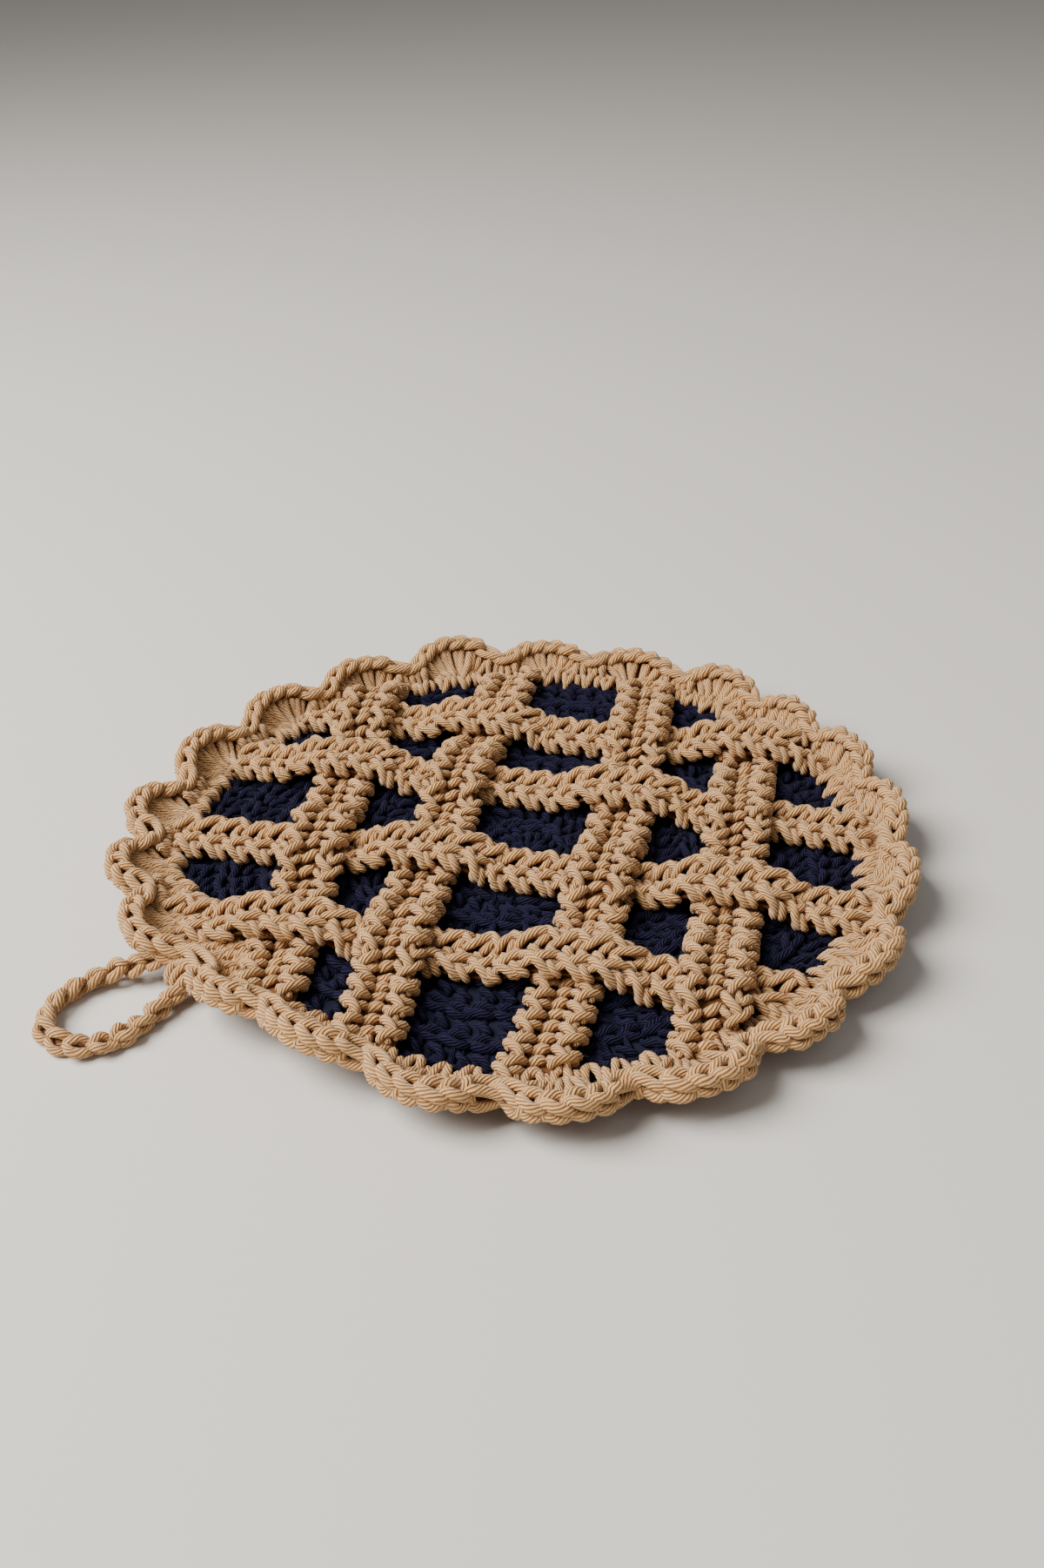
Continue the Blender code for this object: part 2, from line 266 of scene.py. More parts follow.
class Strands:
    """Many closed tubes of yarn gathered for one mesh."""

    def __init__(self):
        self.points, self.quads, self.tris = [], [], []
        self.quad_uvs, self.tri_uvs, self.tones, self.outward = [], [], [], []
        self.count = 0

    def add(self, controls, radius, steps, sides=6, end=0.55, tone_and_shade=0.0, curl=True, first=1.0):
        """Sweeps a tube of a radius in mm through each row of points, fuller in its middle."""
        widest = radius * MM
        curves = through(curled(controls) if curl else controls, steps)
        number = len(curves)
        tangent = normalised(np.gradient(curves, axis=1))
        side = np.empty_like(curves)
        side[:, 0] = normalised(np.cross(tangent[:, 0], ASIDE))
        for j in range(1, steps):
            lean = (side[:, j - 1] * tangent[:, j]).sum(-1, keepdims=True)
            side[:, j] = normalised(side[:, j - 1] - lean * tangent[:, j])
        other = np.cross(tangent, side)
        full = np.sin(pi * np.linspace(*FULL_SPAN, steps)) ** 0.5
        thick = widest * rng.normal(1.0, THICKNESS_VARIES, (number, 1)) * blend(end, FULLEST, full)
        thick *= np.linspace(first, 1.0, steps)
        turn = 2 * pi * np.arange(sides) / sides
        round_it = (
            np.cos(turn)[:, None] * side[:, :, None] + np.sin(turn)[:, None] * other[:, :, None]
        )
        rings = curves[:, :, None] + thick[:, :, None, None] * round_it
        tip = TIP_SHARE * widest
        heads = curves[:, :1] - tip * tangent[:, :1]
        tails = curves[:, -1:] + tip * tangent[:, -1:]
        each = steps * sides + 2
        points = np.concatenate([rings.reshape(number, -1, 3), heads, tails], axis=1)
        self.points.append(points.reshape(-1, 3))
        ends = (-tangent[:, :1], tangent[:, -1:])
        outward = np.concatenate([round_it.reshape(number, -1, 3), *ends], axis=1)
        self.outward.append(outward.reshape(-1, 3))
        gone = np.linalg.norm(np.diff(curves, axis=1), axis=2)
        length = np.concatenate([np.zeros((number, 1)), np.cumsum(gone, axis=1)], axis=1)
        length += rng.uniform(0, TWIST_STARTS, (number, 1))
        self._faces(number, steps, sides, each, length)
        own = rng.normal(tone_and_shade, TONE_VARIES, (number, 1)) * np.ones((1, each))
        self.tones.append(own.reshape(-1))
        self.count += number * each

    def _faces(self, number, steps, sides, each, length):
        row, corner = np.meshgrid(np.arange(steps - 1), np.arange(sides), indexing="ij")
        row, corner = row.reshape(-1), corner.reshape(-1)
        after = (corner + 1) % sides
        quad = np.stack(
            [
                row * sides + corner,
                row * sides + after,
                (row + 1) * sides + after,
                (row + 1) * sides + corner,
            ],
            axis=1,
        )
        base = self.count + each * np.arange(number)
        self.quads.append((base[:, None, None] + quad[None]).reshape(-1, 4))
        u = np.stack([length[:, row], length[:, row], length[:, row + 1], length[:, row + 1]], 2)
        v = np.stack([corner, corner + 1, corner + 1, corner], axis=1) / sides
        uv = np.stack([u, np.broadcast_to(v, u.shape)], axis=3)
        self.quad_uvs.append(uv.reshape(-1, 2))
        corner = np.arange(sides)
        after = (corner + 1) % sides
        last = (steps - 1) * sides
        head = np.stack([after, corner, np.full(sides, steps * sides)], axis=1)
        tail = np.stack([last + corner, last + after, np.full(sides, steps * sides + 1)], axis=1)
        for tri, at in ((head, 0), (tail, steps - 1)):
            self.tris.append((base[:, None, None] + tri[None]).reshape(-1, 3))
            u = np.broadcast_to(length[:, at, None, None], (number, sides, 3))
            ends = (corner + 1, corner) if at == 0 else (corner, corner + 1)
            v = np.stack([*ends, corner + 0.5], axis=1) / sides
            uv = np.stack([u, np.broadcast_to(v, u.shape)], axis=3)
            self.tri_uvs.append(uv.reshape(-1, 2))

    def build(self, name, material, slot):
        quads, tris = np.concatenate(self.quads), np.concatenate(self.tris)
        mesh = bpy.data.meshes.new(name)
        points = np.concatenate(self.points)
        mesh.vertices.add(len(points))
        mesh.vertices.foreach_set("co", points.astype(np.float32).ravel())
        loops = np.concatenate([quads.ravel(), tris.ravel()])
        mesh.loops.add(len(loops))
        mesh.loops.foreach_set("vertex_index", loops.astype(np.int32))
        starts = np.concatenate(
            [4 * np.arange(len(quads)), 4 * len(quads) + 3 * np.arange(len(tris))]
        )
        mesh.polygons.add(len(starts))
        mesh.polygons.foreach_set("loop_start", starts.astype(np.int32))
        mesh.update(calc_edges=True)
        mesh.shade_smooth()
        uv = mesh.uv_layers.new(name=UV_NAME)
        uvs = np.concatenate(self.quad_uvs + self.tri_uvs).astype(np.float32)
        uv.data.foreach_set("uv", uvs.ravel())
        tone_and_shade = mesh.attributes.new(TONE_NAME, "FLOAT", "POINT")
        tone_and_shade.data.foreach_set("value", np.concatenate(self.tones).astype(np.float32))
        ALL_STRANDS.append((mesh, points, np.concatenate(self.outward)))
        return finish_piece(name, mesh, material)


def note_crevices():
    """Gives every point of yarn a value from 0 in the open to 1 deep between strands, where shade is
    painted in.
    """
    everything = np.concatenate([points for _, points, _ in ALL_STRANDS])
    margin = CELL_MARGIN * CELL
    low = everything.min(axis=0) - margin
    shape = ((everything.max(axis=0) + margin - low) / CELL).astype(int) + 1
    cells = ((everything - low) / CELL).astype(int)
    filled = np.zeros(shape)
    np.add.at(filled, tuple(cells.T), 1.0)
    filled = np.minimum(filled, 1.0)
    for axis in range(3):
        filled = (np.roll(filled, 1, axis) + 2 * filled + np.roll(filled, -1, axis)) / 4
    for mesh, points, outward in ALL_STRANDS:
        around = np.zeros(len(points))
        for reach in CREVICE_REACHES:
            there = points + reach * MM * normalised(outward + (0, 0, CREVICE_UPWARD))
            cells = np.clip(((there - low) / CELL).astype(int), 0, np.array(shape) - 1)
            around += filled[tuple(cells.T)] / len(CREVICE_REACHES)
        crevice = smooth((around - CREVICE_FROM) / (CREVICE_TO - CREVICE_FROM))
        layer = mesh.attributes.new(CREVICE_NAME, "FLOAT", "POINT")
        layer.data.foreach_set("value", crevice.astype(np.float32))


def finish_piece(name, mesh, material):
    piece = bpy.data.objects.new(name, mesh)
    mesh.materials.append(material)
    bpy.context.scene.collection.objects.link(piece)
    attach(piece, "root")
    return piece


# ---- tracks

POINT_LOOSE = 0.6  # how much each point strays, of what its whole strand does


class Track:
    """A line along which stitches are laid, with its directions across and up."""

    def __init__(self, points, closed=False):
        if closed:
            points = np.concatenate([points, points[:1]])
        self.closed = closed
        self.points = points
        steps = np.linalg.norm(np.diff(points, axis=0), axis=1)
        self.at = np.concatenate([[0.0], np.cumsum(steps)])
        self.length = self.at[-1]
        if closed:
            tangent = np.roll(points[:-1], -1, axis=0) - np.roll(points[:-1], 1, axis=0)
            tangent = np.concatenate([tangent, tangent[:1]])
        else:
            tangent = np.gradient(points, axis=0)
        tangent = normalised(tangent)
        self.across = normalised(np.cross(tangent, (0.0, 0.0, 1.0)))
        self.up = np.cross(self.across, tangent)

    def place(self, along, across, up):
        """Points at distances along, across and up, as arrays of one shape."""
        if self.closed:
            along = np.mod(along, self.length)
        found = []
        for axis in range(3):
            at = np.interp(along, self.at, self.points[:, axis])
            at = at + across * np.interp(along, self.at, self.across[:, axis])
            found.append(at + up * np.interp(along, self.at, self.up[:, axis]))
        return np.stack(found, axis=-1)


def lay(track, pattern, starts, pitch, loose, mirror=1.0, aside=0.0):
    """Rows of control points for one strand of each stitch, a little uneven as by hand."""
    rows = np.array(pattern)
    number, count = len(starts), len(rows)
    pitch = np.broadcast_to(pitch, (number,))
    along = starts[:, None] + pitch[:, None] * rows[None, :, 0]
    across = mirror * (rows[:, 1] + aside) * MM * np.ones((number, 1))
    up = rows[:, 2] * MM * np.ones((number, 1))
    wander = rng.normal(0, loose * MM, (3, number, 1))
    wander = wander + rng.normal(0, POINT_LOOSE * loose * MM, (3, number, count))
    return track.place(along + wander[0], across + wander[1], up + wander[2])


# ---- thin cloths inside the stitches


def slab(name, upper, lower, material, closed=False):
    """A closed thin cloth between an upper and a lower grid of points."""
    rings = curled(np.concatenate([upper, lower[:, ::-1]], axis=1))
    number, count = rings.shape[:2]
    faces = []
    for i in range(number if closed else number - 1):
        j = (i + 1) % number
        for k in range(count):
            m = (k + 1) % count
            faces.append((i * count + k, i * count + m, j * count + m, j * count + k))
    if not closed:
        faces.append(tuple(range(count))[::-1])
        faces.append(tuple((number - 1) * count + k for k in range(count)))
    mesh = bpy.data.meshes.new(name)
    mesh.from_pydata(rings.reshape(-1, 3).tolist(), [], faces)
    mesh.update()
    mesh.shade_smooth()
    return finish_piece(name, mesh, material)


# ---- materials


def link(tree, source, target):
    tree.links.new(source, target)


def math_node(tree, operation, first, second=None):
    node = tree.nodes.new("ShaderNodeMath")
    node.operation = operation
    for socket, value in zip(node.inputs, (first, second)):
        if isinstance(value, bpy.types.NodeSocket):
            link(tree, value, socket)
        elif value is not None:
            socket.default_value = value
    return node.outputs[0]


def mix_colour(tree, share, first, second, blend_type="MIX"):
    node = tree.nodes.new("ShaderNodeMix")
    node.data_type = "RGBA"
    node.blend_type = blend_type
    for socket, value in ((node.inputs[0], share), (node.inputs[6], first), (node.inputs[7], second)):
        if isinstance(value, bpy.types.NodeSocket):
            link(tree, value, socket)
        elif isinstance(value, tuple):
            socket.default_value = (*value, 1.0)
        else:
            socket.default_value = value
    return node.outputs[2]


def noise_node(tree, vector, scale, detail):
    node = tree.nodes.new("ShaderNodeTexNoise")
    node.inputs["Scale"].default_value = scale
    node.inputs["Detail"].default_value = detail
    link(tree, vector, node.inputs["Vector"])
    return node.outputs[0]


def point_value(tree, name):
    node = tree.nodes.new("ShaderNodeAttribute")
    node.attribute_name = name
    return node.outputs["Fac"]


def scaled(tree, value, factor):
    return math_node(tree, "MULTIPLY", value, factor)


def ply_phase(tree, along, around):
    """Which ply lies at a point: whole numbers are the grooves between two plies."""
    phase = math_node(tree, "ADD", scaled(tree, around, PLIES), scaled(tree, along, TWIST))
    spot = tree.nodes.new("ShaderNodeNewGeometry")
    wander = noise_node(tree, spot.outputs["Position"], scale=PLY_WANDER_SCALE, detail=1.0)
    return math_node(tree, "ADD", phase, scaled(tree, wander, PLY_WANDER))


def fibre_noise(tree, phase, along, tone_and_shade):
    place = tree.nodes.new("ShaderNodeCombineXYZ")
    link(tree, scaled(tree, phase, FIBRES_PER_PLY), place.inputs[0])
    link(tree, scaled(tree, along, FIBRES_ALONG), place.inputs[1])
    link(tree, scaled(tree, tone_and_shade, FIBRE_CHANGE), place.inputs[2])
    return noise_node(tree, place.outputs[0], scale=1.0, detail=2.0)


def yarn_colour(tree, yarn, lobe, fibre, tone_and_shade):
    """Painted highlight on the crests of the plies, painted shade in their grooves and between strands.
    """
    # painted highlight: the crests of the plies mixed towards a lighter colour
    high = scaled(tree, math_node(tree, "POWER", lobe, CREST_HIGHLIGHT_POWER), CREST_HIGHLIGHT_SHARE)
    base = mix_colour(tree, high, yarn.colour, yarn.crest_highlight)
    # painted shade: the grooves between the plies mixed towards the shade colour
    low = scaled(tree, math_node(tree, "SUBTRACT", 1.0, lobe), yarn.groove_shade)
    base = mix_colour(tree, low, base, yarn.shade_colour)
    # painted shade: yarn deep between strands mixed towards the shade colour
    painted_crevice_shade = scaled(tree, point_value(tree, CREVICE_NAME), CREVICE_SHADE)
    base = mix_colour(tree, painted_crevice_shade, base, yarn.shade_colour)
    light = math_node(tree, "ADD", 1.0, scaled(tree, tone_and_shade, TONE_SHADE))
    speck = scaled(tree, math_node(tree, "SUBTRACT", fibre, 0.5), yarn.speckle)
    light = math_node(tree, "ADD", light, speck)
    grey = tree.nodes.new("ShaderNodeCombineColor")
    for socket in grey.inputs:
        link(tree, light, socket)
    return mix_colour(tree, 1.0, base, grey.outputs[0], "MULTIPLY")


def yarn_material(name, yarn):
    """Plied yarn: twisted plies and fibres raised by bump, with painted shade in their grooves."""
    material = bpy.data.materials.new(name)
    material.use_nodes = True
    tree = material.node_tree
    shader = tree.nodes["Principled BSDF"]
    uv = tree.nodes.new("ShaderNodeUVMap")
    uv.uv_map = UV_NAME
    parts = tree.nodes.new("ShaderNodeSeparateXYZ")
    link(tree, uv.outputs[0], parts.inputs[0])
    along, around = parts.outputs[0], parts.outputs[1]
    tone_and_shade = point_value(tree, TONE_NAME)
    phase = ply_phase(tree, along, around)
    lobe = math_node(tree, "ABSOLUTE", math_node(tree, "SINE", scaled(tree, phase, pi)))
    fibre = fibre_noise(tree, phase, along, tone_and_shade)
    raised = tree.nodes.new("ShaderNodeBump")
    raised.inputs["Strength"].default_value = yarn.bump
    raised.inputs["Distance"].default_value = PLY_BUMP_DEPTH
    height = math_node(tree, "ADD", lobe, scaled(tree, fibre, FIBRE_HEIGHT))
    link(tree, height, raised.inputs["Height"])
    link(tree, raised.outputs[0], shader.inputs["Normal"])
    link(tree, yarn_colour(tree, yarn, lobe, fibre, tone_and_shade), shader.inputs["Base Color"])
    shader.inputs["Roughness"].default_value = YARN_ROUGHNESS
    shader.inputs["Specular IOR Level"].default_value = yarn.shine
    shader.inputs["Sheen Weight"].default_value = yarn.sheen
    shader.inputs["Sheen Roughness"].default_value = SHEEN_ROUGHNESS
    shader.inputs["Sheen Tint"].default_value = (*yarn.sheen_tint, 1.0)
    return material


def plain_material(name, colour, roughness=PLAIN_ROUGHNESS):
    material = bpy.data.materials.new(name)
    material.use_nodes = True
    shader = material.node_tree.nodes["Principled BSDF"]
    shader.inputs["Base Color"].default_value = (*colour, 1.0)
    shader.inputs["Roughness"].default_value = roughness
    shader.inputs["Specular IOR Level"].default_value = PLAIN_SPECULAR
    return material


# ---- navy round: rows of (pitches along, mm across, mm up) that one strand passes

NAVY_PITCH = ROUND_RADIUS / ROUNDS
NAVY_STITCHES = 12  # added in each round
NAVY_TURN = 0.37  # pitches by which a round is turned on from the one before
NAVY_Z = 2.0
NAVY_TOP_LEG = ((-0.2, 0.1, 0.3), (0.0, 0.4, 1.1), (0.35, 1.3, 1.4), (0.7, 1.5, 1.1), (1.1, 0.6, 0.4))
NAVY_BANDS = (
    ((0.1, -7.4, 0.4), (0.25, -6.3, 1.2), (0.5, -5.2, 1.4), (0.72, -4.4, 0.9), (0.8, -4.0, 0.2)),
    ((0.1, -3.7, 0.4), (0.28, -2.8, 1.1), (0.5, -2.0, 1.2), (0.7, -1.2, 0.6)),
)
NAVY_POSTS = (-0.22, 0.12)
NAVY_TOP_RADIUS = 1.1
NAVY_STRAND_RADIUS = 1.0
NAVY_LOOSE = 0.3
NAVY_POST_LOOSE = 0.35
NAVY_PARTS = {"inner": range(1, 6), "middle": range(6, 8), "outer": range(8, ROUNDS + 1)}
NAVY_CLOTH_HALF = 0.35
NAVY_CLOTH_RADII = np.linspace(0.5, ROUND_RADIUS - 0.8, 14)
NAVY_CLOTH_STEPS = 96
CIRCLE_STEPS = 240


def navy_post(spread):
    """One of the strands of a long stitch, from the round before out to its own top."""
    return (
        (0.4 + 0.35 * spread, -NAVY_PITCH + 0.6, 0.9),
        (0.4 + 0.6 * spread, -NAVY_PITCH + 3.0, 0.1),
        (0.4 + 1.0 * spread, -NAVY_PITCH + 6.0, 0.2),
        (0.42 + 1.1 * spread, -1.2, 0.3),
        (0.45 + 0.9 * spread, 0.4, 0.0),
    )


def circle(radius, height, steps=CIRCLE_STEPS):
    turn = 2 * pi * np.arange(steps) / steps
    x = radius * np.cos(turn) * MM
    y = radius * np.sin(turn) * MM
    return np.stack([x, y, np.full(steps, height * MM)], axis=1)


def navy_round_stitches(strands, number):
    """One round of long stitches: their chain of tops, the bands between and their posts."""
    track = Track(circle(number * NAVY_PITCH, NAVY_Z), closed=True)
    pitch = track.length / (NAVY_STITCHES * number)
    starts = pitch * (np.arange(NAVY_STITCHES * number) + NAVY_TURN * number)
    for mirror in (1.0, -1.0):
        leg = lay(track, NAVY_TOP_LEG, starts, pitch, NAVY_LOOSE, mirror)
        strands.add(leg, NAVY_TOP_RADIUS, steps=8)
    for pattern in NAVY_BANDS:
        band = lay(track, pattern, starts, pitch, NAVY_LOOSE)
        strands.add(band, NAVY_STRAND_RADIUS, steps=7, sides=5)
    for spread in NAVY_POSTS:
        post = lay(track, navy_post(spread), starts, pitch, NAVY_POST_LOOSE)
        strands.add(post, NAVY_STRAND_RADIUS, steps=8, sides=5)


def navy_cloth(plain):
    upper, lower = [], []
    for radius in NAVY_CLOTH_RADII:
        upper.append(circle(radius, NAVY_Z + NAVY_CLOTH_HALF, NAVY_CLOTH_STEPS))
        lower.append(circle(radius, NAVY_Z - NAVY_CLOTH_HALF, NAVY_CLOTH_STEPS))
    upper, lower = np.stack(upper, axis=1), np.stack(lower, axis=1)
    return slab("navy_core", upper, lower, plain, closed=True)


def make_navy(material, plain):
    for part, rounds in NAVY_PARTS.items():
        strands = Strands()
        for number in rounds:
            navy_round_stitches(strands, number)
        strands.build(f"navy_stitches_{part}", material, "navy_yarn")
    core = navy_cloth(plain)
    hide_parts("navy_round")


# ---- border

# one stitch of the rim, along the edge of the shells: two chain legs, an outer and an inner fill
RIM_LEGS = (
    (
        (-0.24, -2.9, 0.7),
        (-0.06, -3.1, 1.6),
        (0.15, -3.8, 2.1),
        (0.45, -4.5, 1.8),
        (0.8, -4.5, 1.2),
        (1.1, -4.0, 0.3),
    ),
    (
        (-0.24, -2.7, 0.7),
        (-0.06, -2.5, 1.6),
        (0.15, -1.8, 2.0),
        (0.45, -1.2, 1.6),
        (0.8, -1.2, 1.0),
        (1.1, -1.7, 0.1),
    ),
    ((-0.1, -2.0, -0.1), (0.15, -1.2, -0.7), (0.5, -1.0, -1.4), (0.85, -1.2, -1.1), (1.08, -2.0, -0.4)),
    ((0.12, -2.4, 0.5), (0.06, -1.6, 0.1), (0.02, -1.4, -0.7), (0.0, -2.0, -1.6)),
)
RIM_START = 0.1
RIM_RADIUS = 1.2
RIM_LOOSE = 0.17
SHELL_STITCHES = 6
SHELL_STEPS = 60
LOOP_NOTCH_STEPS = 16
OUTLINE_SOFTENED = 5

SHELL_POSTS = 6
# the two strands of a post: pitches aside, and mm by which it passes over the other
POST_STRANDS = ((-0.19, -0.25), (0.17, 0.45))
POST_TOP = (-4.4, -0.4)  # mm across and up from the shell's edge
POST_FOOT_HEIGHT = 5.4
POST_FOOT_SPREAD = 1.2
# bends of a post: share of its way, mm up, mm down in a shell's middle, sign of the crossing
POST_BENDS = ((0.28, 0.7, 1.8, 1.0), (0.62, 0.6, 2.5, -1.0))
FAN_FOOT = 6.0  # width of the feet of a shell's fan
FAN_RADIUS = 1.24
FAN_LOOSE = 0.2
FAN_SAG = 0.35

RING_STITCHES = 87
RING_RADIUS = 86.2
RING_STRAND_RADIUS = 1.0
RING_LOOSE = 0.22
# strands at a notch: mm aside, and rows of (radius, height, share of the edge's rise added)
NOTCH_STITCHES = (-4.0, -2.0, 0.0, 2.0, 4.0)
NOTCH_LINE = ((RING_RADIUS + 0.4, 5.2, 0.0), (88.2, 6.2, 0.0), (89.4, 0.5, 0.85), (90.6, 0.4, 0.85))
# one stitch of the ring: rows of (pitches along, mm outward, mm up from the table)
RING_STRANDS = (
    ((0.36, -1.6, 3.0), (0.28, -1.6, 4.6), (0.16, -0.6, 5.8), (0.06, 1.0, 6.1), (0.0, 3.0, 5.1)),
    ((0.3, -1.7, 3.0), (0.36, -1.7, 4.6), (0.44, -0.7, 5.7), (0.5, 1.0, 5.9), (0.52, 3.0, 5.0)),
    ((0.75, -0.8, 3.6), (0.77, -0.4, 5.2), (0.79, 0.9, 5.8), (0.8, 2.8, 5.0)),
    ((0.2, 0.2, 0.9), (0.15, 1.6, 1.7), (0.1, 2.2, 3.6), (0.05, 1.6, 5.0)),
    ((0.7, 0.2, 0.9), (0.65, 1.6, 1.7), (0.6, 2.2, 3.6), (0.55, 1.6, 5.0)),
)
# the stitches reach in over the navy like teeth, most of all at one side
TOOTH_SHARES = (1.0, 0.95, 0.3, 0.0, 0.0)  # of the reach, for each strand
TOOTH_REACH = 2.6
TOOTH_ANGLE = 325.0
TOOTH_WIDTH = 1.4
TOOTH_FADE = 1.5
# near the loop more rows of the ring cover the navy
COVER_ANGLE = 217.0
COVER_SPREAD = 17.0
COVER_REACH = 11.0
COVER_POWER = 0.7
COVER_FIRST = 1.5
COVER_ROWS = 3
COVER_PITCH = 3.2
COVER_EDGE = 0.6  # of a row that the cover has to reach for the row to be there
COVER_STRANDS = RING_STRANDS[:3]
COVER_STRAND_RADIUS = 1.05
COVER_LOOSE = 0.25

# the cloth inside the border: points (radius, height) in the ring, then two in the shell
CLOTH_FOOT = ((84.9, 1.2), (85.6, 3.5), (87.6, 3.7))
CLOTH_SHARE = 0.32  # of the shell's reach past the ring, from both of its ends
CLOTH_LOW = 3.4
CLOTH_LOW_SHARE = 0.22
CLOTH_INSET = 2.8
CLOTH_BELOW = 1.3
CLOTH_UP = 0.35
CLOTH_DOWN = 0.4
CLOTH_OUT = 0.25
CLOTH_EVERY = 3  # points of the outline


def shell_outline():
    """Dense angle, outer radius and rise round the border, and where each shell starts."""
    scale = (360.0 - LOOP_NOTCH_WIDTH) / sum(shell[0] for shell in SHELLS)
    start = LOOP_NOTCH_ANGLE + LOOP_NOTCH_WIDTH / 2
    last = len(SHELLS) - 1
    rows = []
    edges = [start]
    low_before = LOOP_NOTCH_RISE
    for number, (width, reach, rise, low_after) in enumerate(SHELLS):
        turn = width * scale
        for step in np.linspace(-1, 1, SHELL_STEPS, endpoint=False):
            bulge = (1.0 - abs(step) ** BULGE_POWERS[0]) ** BULGE_POWERS[1]
            notch = NOTCH_RADIUS
            if (number == 0 and step < 0) or (number == last and step >= 0):
                notch = LOOP_NOTCH_RADIUS
            angle = radians(start + turn * (step + 1) / 2)
            low = low_before if step < 0 else low_after
            rows.append((angle, blend(notch, reach, bulge), blend(low, rise, bulge)))
        start += turn
        low_before = low_after
        edges.append(start)
    for step in np.linspace(0, LOOP_NOTCH_WIDTH, LOOP_NOTCH_STEPS, endpoint=False):
        rows.append((radians(start + step), LOOP_NOTCH_RADIUS, LOOP_NOTCH_RISE))
    return np.array(rows), [radians(edge) for edge in edges]


def softened(rows, reach=OUTLINE_SOFTENED):
    """Evens out radius and rise round the closed outline."""
    soft = rows.copy()
    for column in (1, 2):
        values = rows[:, column]
        around = [np.roll(values, step) for step in range(-reach, reach + 1)]
        soft[:, column] = sum(around) / len(around)
    return soft


def ring_point(radius, angle, height):
    return (radius * cos(angle) * MM, radius * sin(angle) * MM, height * MM)


def rim_stitches(track, marks):
    """Stitches along the edge of every shell, and one across the loop's notch."""
    starts, pitches = [], []
    for low, high in zip(marks, marks[1:]):
        pitch = (high - low) / SHELL_STITCHES
        starts += [low + pitch * (i + RIM_START) for i in range(SHELL_STITCHES)]
        pitches += [pitch] * SHELL_STITCHES
    pitch = track.length - marks[-1]
    starts.append(marks[-1] + RIM_START * pitch)
    pitches.append(pitch)
    rim = Strands()
    for leg in RIM_LEGS:
        laid = lay(track, leg, np.array(starts), np.array(pitches), RIM_LOOSE)
        rim.add(laid, RIM_RADIUS, steps=11, sides=8, end=0.7)
    return rim


def fan_post(track, low, pitch, number, middle, spread, over):
    """One strand of a shell's post, from its foot on the ring up to the shell's edge."""
    base = (number - (SHELL_POSTS - 1) / 2) / SHELL_POSTS
    along = low + pitch * (number + 0.5 + spread)
    top = track.place(np.array(along), *(np.array(value * MM) for value in POST_TOP))
    foot_angle = middle + (base * FAN_FOOT + spread * POST_FOOT_SPREAD) / RING_RADIUS
    foot = np.array(ring_point(RING_RADIUS + 0.2, foot_angle, POST_FOOT_HEIGHT))
    bow = 1.0 - abs(base)
    bends = []
    for share, raised, sunk, crossing in POST_BENDS:
        up = raised - sunk * bow + crossing * over
        bends.append(foot + share * (top - foot) + np.array((0, 0, up * MM)))
    return [foot, *bends, top]


def fan_stitches(track, marks, edges, angles, rises):
    """The posts that fan out in every shell, and the strands that fill the notches."""
    posts = []
    for low, high in zip(marks, marks[1:]):
        middle = np.interp((low + high) / 2, track.at[:-1], angles)
        pitch = (high - low) / SHELL_POSTS
        for number in range(SHELL_POSTS):
            for spread, over in POST_STRANDS:
                posts.append(fan_post(track, low, pitch, number, middle, spread, over))
    for edge in edges:
        for aside in NOTCH_STITCHES:
            turned = edge + aside / NOTCH_RADIUS
            rise = np.interp(turned, angles, rises)
            line = [(radius, z + share * rise) for radius, z, share in NOTCH_LINE]
            posts.append([ring_point(radius, turned, z) for radius, z in line])
    posts = np.array(posts)
    posts += rng.normal(0, FAN_LOOSE * MM, posts.shape)
    posts[:, 1:3, 2] += rng.normal(0, FAN_SAG * MM, (len(posts), 1))
    fans = Strands()
    # the lower tone of the fan posts is painted shade: posts inside the cupped shells come out a little
    # darker
    fans.add(posts, FAN_RADIUS, steps=8, end=0.8, tone_and_shade=-0.2, first=0.55)
    return fans


def ring_stitches():
    """The border's first round, with the rows near the loop that cover more of the navy."""
    ring = Strands()
    track = Track(circle(RING_RADIUS, 0.0), closed=True)
    pitch = track.length / RING_STITCHES
    starts = pitch * np.arange(RING_STITCHES)
    turned = starts / track.length * 2 * pi
    teeth = TOOTH_REACH * np.clip(np.cos(turned - radians(TOOTH_ANGLE)) * TOOTH_WIDTH, 0, 1)
    aside = np.clip((np.degrees(turned) - COVER_ANGLE) / COVER_SPREAD, -1, 1)
    cover = COVER_REACH * np.cos(pi / 2 * aside) ** COVER_POWER
    for strand, share in zip(RING_STRANDS, TOOTH_SHARES):
        rows = lay(track, strand, starts, pitch, RING_LOOSE)
        inward = normalised(-rows[:, 0] * (1, 1, 0))
        fade = np.linspace(1, 0, rows.shape[1]) ** TOOTH_FADE
        further = share * (teeth + np.minimum(cover, COVER_FIRST))
        rows += MM * further[:, None, None] * fade[None, :, None] * inward[:, None]
        ring.add(rows, RING_STRAND_RADIUS, steps=8)
    for row in range(COVER_ROWS):
        inner = Track(circle(RING_RADIUS - (row + 1) * COVER_PITCH, 0.0), closed=True)
        covered = cover > (row + COVER_EDGE) * COVER_PITCH
        part = starts[covered] * inner.length / track.length
        for strand in COVER_STRANDS:
            rows = lay(inner, strand, part, pitch, COVER_LOOSE)
            ring.add(rows, COVER_STRAND_RADIUS, steps=8)
    return ring


